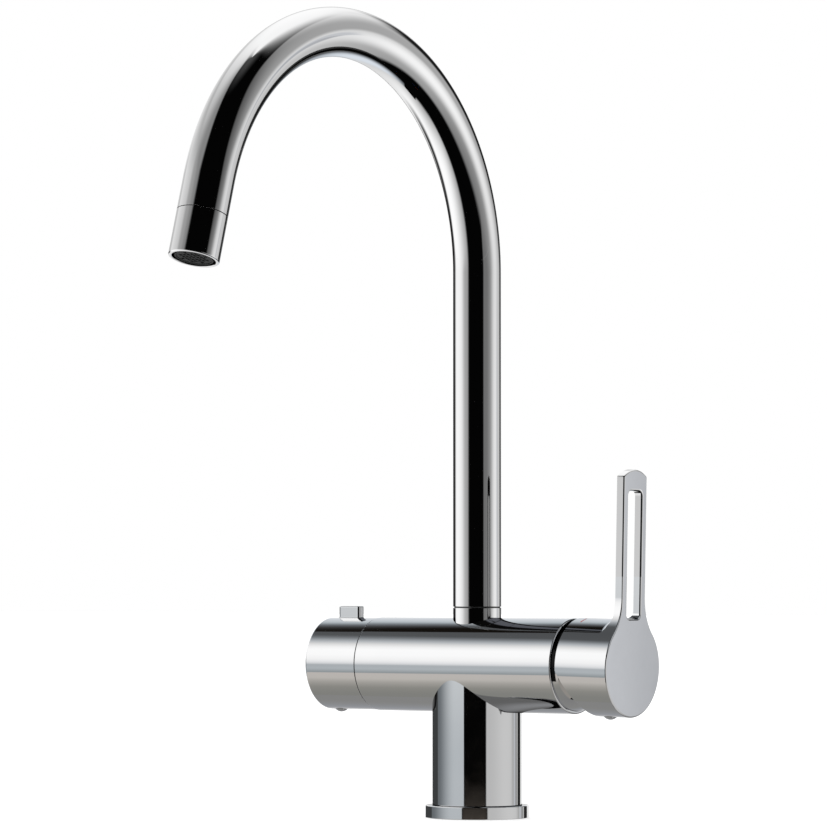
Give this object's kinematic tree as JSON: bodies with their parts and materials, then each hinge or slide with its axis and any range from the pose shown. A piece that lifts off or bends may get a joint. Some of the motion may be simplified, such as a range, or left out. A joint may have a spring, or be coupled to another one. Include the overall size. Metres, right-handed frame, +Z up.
{
  "type": "kitchen mixer tap",
  "caption": "Chrome one-lever kitchen mixer tap: a horizontal barrel on a column, a high swivel spout, a slotted lever at one end and a dishwasher valve knob at the other.",
  "frame": {"origin": "centre of the base ring's underside, on the worktop; also the mouth of the hose opening", "axes": "+Z is up, -Y is the front, where the spout points, and +X is the lever's end of the barrel"},
  "size_m": [0.1858, 0.2637, 0.3943],
  "materials": {
    "chrome": "mirror-bright chrome plate on brass, steel and zinc",
    "brass": "machined, unplated",
    "steel": "plain machined",
    "cartridge_plastic": "moulded, matt",
    "ceramic": "lapped ceramic",
    "rubber": "matt black",
    "washer_plastic": "moulded, matt",
    "aerator_plastic": "moulded, matt dark grey",
    "hot_paint": "enamel in an engraved line",
    "cold_paint": "enamel in an engraved line"
  },
  "bodies": {
    "tap_body": {"mixer_body": "chrome", "base_ring": "chrome", "base_gasket": "rubber", "spout_slide_washer": "washer_plastic", "spout_retaining_screw": "steel", "cartridge_base": "cartridge_plastic", "cartridge_seals": "rubber", "cartridge_fixed_disc": "ceramic", "cartridge_housing": "cartridge_plastic", "cartridge_nut": "brass", "dome_cover": "chrome", "valve_headwork": "brass", "valve_seat_gasket": "rubber", "valve_fixed_disc": "ceramic"},
    "spout": {"spout_tube": "chrome", "spout_foot": "brass", "spout_o_rings": "rubber", "spout_end_collar": "brass", "aerator_sleeve": "chrome", "aerator_gasket": "rubber", "aerator_insert": "aerator_plastic", "aerator_grid": "aerator_plastic"},
    "rotor": {"cartridge_rotor": "cartridge_plastic", "spindle_pin": "steel"},
    "flow_disc": {"cartridge_moving_disc": "ceramic"},
    "lever": {"cartridge_spindle": "brass", "lever_handle": "chrome", "lever_set_screw": "steel", "lever_screw_cap": "chrome", "hot_mark": "hot_paint", "cold_mark": "cold_paint"},
    "valve": {"valve_knob": "chrome", "knob_set_screw": "steel", "knob_screw_cap": "chrome", "valve_spindle": "brass", "valve_o_ring": "rubber", "valve_moving_disc": "ceramic"}
  },
  "joints": [
    {"name": "spout_swivel", "type": "hinge", "parent": "tap_body", "child": "spout", "pos_m": [0, 0, 0.1046], "axis": [0, 0, 1], "range_deg": [-60, 60]},
    {"name": "temperature_turn", "type": "hinge", "parent": "tap_body", "child": "rotor", "pos_m": [0.056, 0, 0.076], "axis": [1, 0, 0], "range_deg": [-45, 45]},
    {"name": "flow_lift", "type": "hinge", "parent": "rotor", "child": "lever", "pos_m": [0.056, 0, 0.076], "axis": [0, 1, 0], "range_deg": [0, 24]},
    {"name": "disc_slide", "type": "slide", "parent": "rotor", "child": "flow_disc", "axis": [0, 0, 1], "range_m": [0, 0.0041]},
    {"name": "valve_turn", "type": "hinge", "parent": "tap_body", "child": "valve", "pos_m": [-0.0597, 0, 0.076], "axis": [1, 0, 0], "range_deg": [0, 90]}
  ],
  "couplings": [
    {"joint": "disc_slide", "follows": "flow_lift", "m_per_rad": 0.009665}
  ]
}
